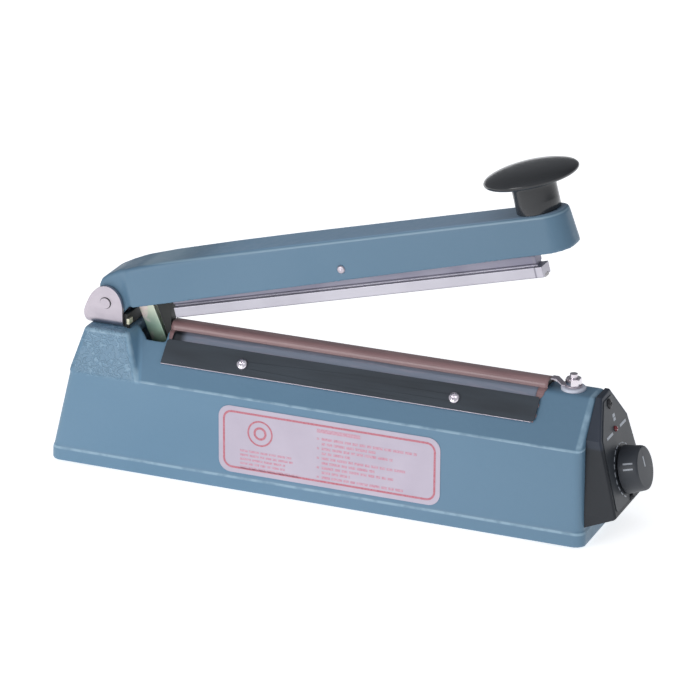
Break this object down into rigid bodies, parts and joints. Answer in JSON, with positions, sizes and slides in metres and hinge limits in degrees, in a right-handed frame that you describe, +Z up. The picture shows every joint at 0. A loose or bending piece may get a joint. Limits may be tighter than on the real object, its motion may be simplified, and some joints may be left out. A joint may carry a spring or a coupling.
{
  "type": "impulse heat sealer",
  "caption": "Hand operated impulse bag sealer with a hollow cast base, hinged press arm and mushroom knob, rocking pressure bar, taped heating element and timer dial.",
  "frame": {"origin": "centre of the overall footprint, at bench level under the rubber feet", "axes": "+X along the length towards the timer knob, +Y away from the labelled side, +Z up"},
  "size_m": [0.3181, 0.058, 0.1902],
  "materials": {
    "blue_hammertone": "hammertone enamel, semi gloss",
    "bright_plate": "bright zinc plate",
    "yellow_zinc": "yellow passivated zinc plate",
    "chrome_screw": "polished",
    "aluminium_bar": "extruded, matt",
    "black_plate": "black, satin",
    "black_rubber": "matt",
    "silicone": "soft, matt",
    "black_gloss": "moulded, glossy",
    "black_satin": "moulded, satin",
    "black_phenolic": "moulded, matt",
    "white_insulator": "moulded",
    "tan_cloth": "coated glass cloth, slight sheen",
    "grey_sheet": "coated glass sheet, sheen",
    "nichrome": "flat ribbon",
    "spring_steel": "oiled",
    "label_white": "printed plastic label",
    "dial_print": "printed plastic plate",
    "red_lamp": "clear red lens",
    "core_steel": "laminated steel, varnished",
    "coil_tape": "wound coil under yellow tape",
    "board_green": "glass epoxy board",
    "board_dark": "moulded components",
    "switch_red": "moulded"
  },
  "bodies": {
    "base": {"base_casting": "blue_hammertone", "bottom_plate": "bright_plate", "rubber_feet": "black_rubber", "foot_screws": "bright_plate", "cord_grommet": "black_rubber", "hinge_bracket": "bright_plate", "bracket_screws": "bright_plate", "hinge_pin": "bright_plate", "hinge_pin_clip": "spring_steel", "seal_bed": "black_phenolic", "edge_sheets": "grey_sheet", "heating_element": "nichrome", "release_cloth": "tan_cloth", "clamp_plate_near": "black_plate", "clamp_plate_far": "black_plate", "clamp_screws": "chrome_screw", "terminal_washer": "white_insulator", "terminal_lug": "bright_plate", "terminal_nut": "chrome_screw", "terminal_stud": "chrome_screw", "rear_terminal_block": "black_phenolic", "return_spring": "spring_steel", "hinge_guard": "black_phenolic", "guard_tab": "yellow_zinc", "timer_cover": "black_satin", "dial_plate": "dial_print", "cover_screws": "black_plate", "indicator_lamp": "red_lamp", "potentiometer": "bright_plate", "potentiometer_nut": "bright_plate", "transformer_core": "core_steel", "transformer_coil": "coil_tape", "transformer_bracket": "bright_plate", "timer_board": "board_green", "board_parts": "board_dark", "board_bracket": "bright_plate", "switch_body": "switch_red", "switch_bracket": "bright_plate", "switch_screws": "bright_plate", "side_label": "label_white"},
    "arm": {"arm_casting": "blue_hammertone", "arm_lever": "yellow_zinc", "lever_screw": "bright_plate", "press_knob": "black_gloss", "knob_stud": "bright_plate", "bar_rivet": "bright_plate"},
    "bar": {"pressure_bar": "aluminium_bar", "silicone_strip": "silicone"},
    "timer": {"timer_knob": "black_satin", "timer_shaft": "bright_plate"},
    "plunger": {"switch_plunger": "black_phenolic"}
  },
  "joints": [
    {"name": "arm_lift", "type": "hinge", "parent": "base", "child": "arm", "pos_m": [-0.13285, 0, 0.0868], "axis": [0, 1, 0], "range_deg": [0, 11.43], "stiffness_Nm_per_rad": 3, "springref_deg": -20.05, "deforming": ["return_spring"]},
    {"name": "bar_rock", "type": "hinge", "parent": "arm", "child": "bar", "pos_m": [-0.00194, 0, 0.12382], "axis": [0, 1, 0], "range_deg": [0, 3.07]},
    {"name": "timer_turn", "type": "hinge", "parent": "base", "child": "timer", "pos_m": [0.14457, 0, 0.03479], "axis": [0.9647, 0, 0.2633], "range_deg": [-135, 135]},
    {"name": "plunger_slide", "type": "slide", "parent": "base", "child": "plunger", "axis": [1, 0, 0], "range_m": [-0.001, 0]}
  ],
  "couplings": [
    {"joint": "bar_rock", "follows": "arm_lift", "ratio": 0.26021},
    {"joint": "plunger_slide", "follows": "arm_lift", "m_per_rad": -0.004513}
  ]
}
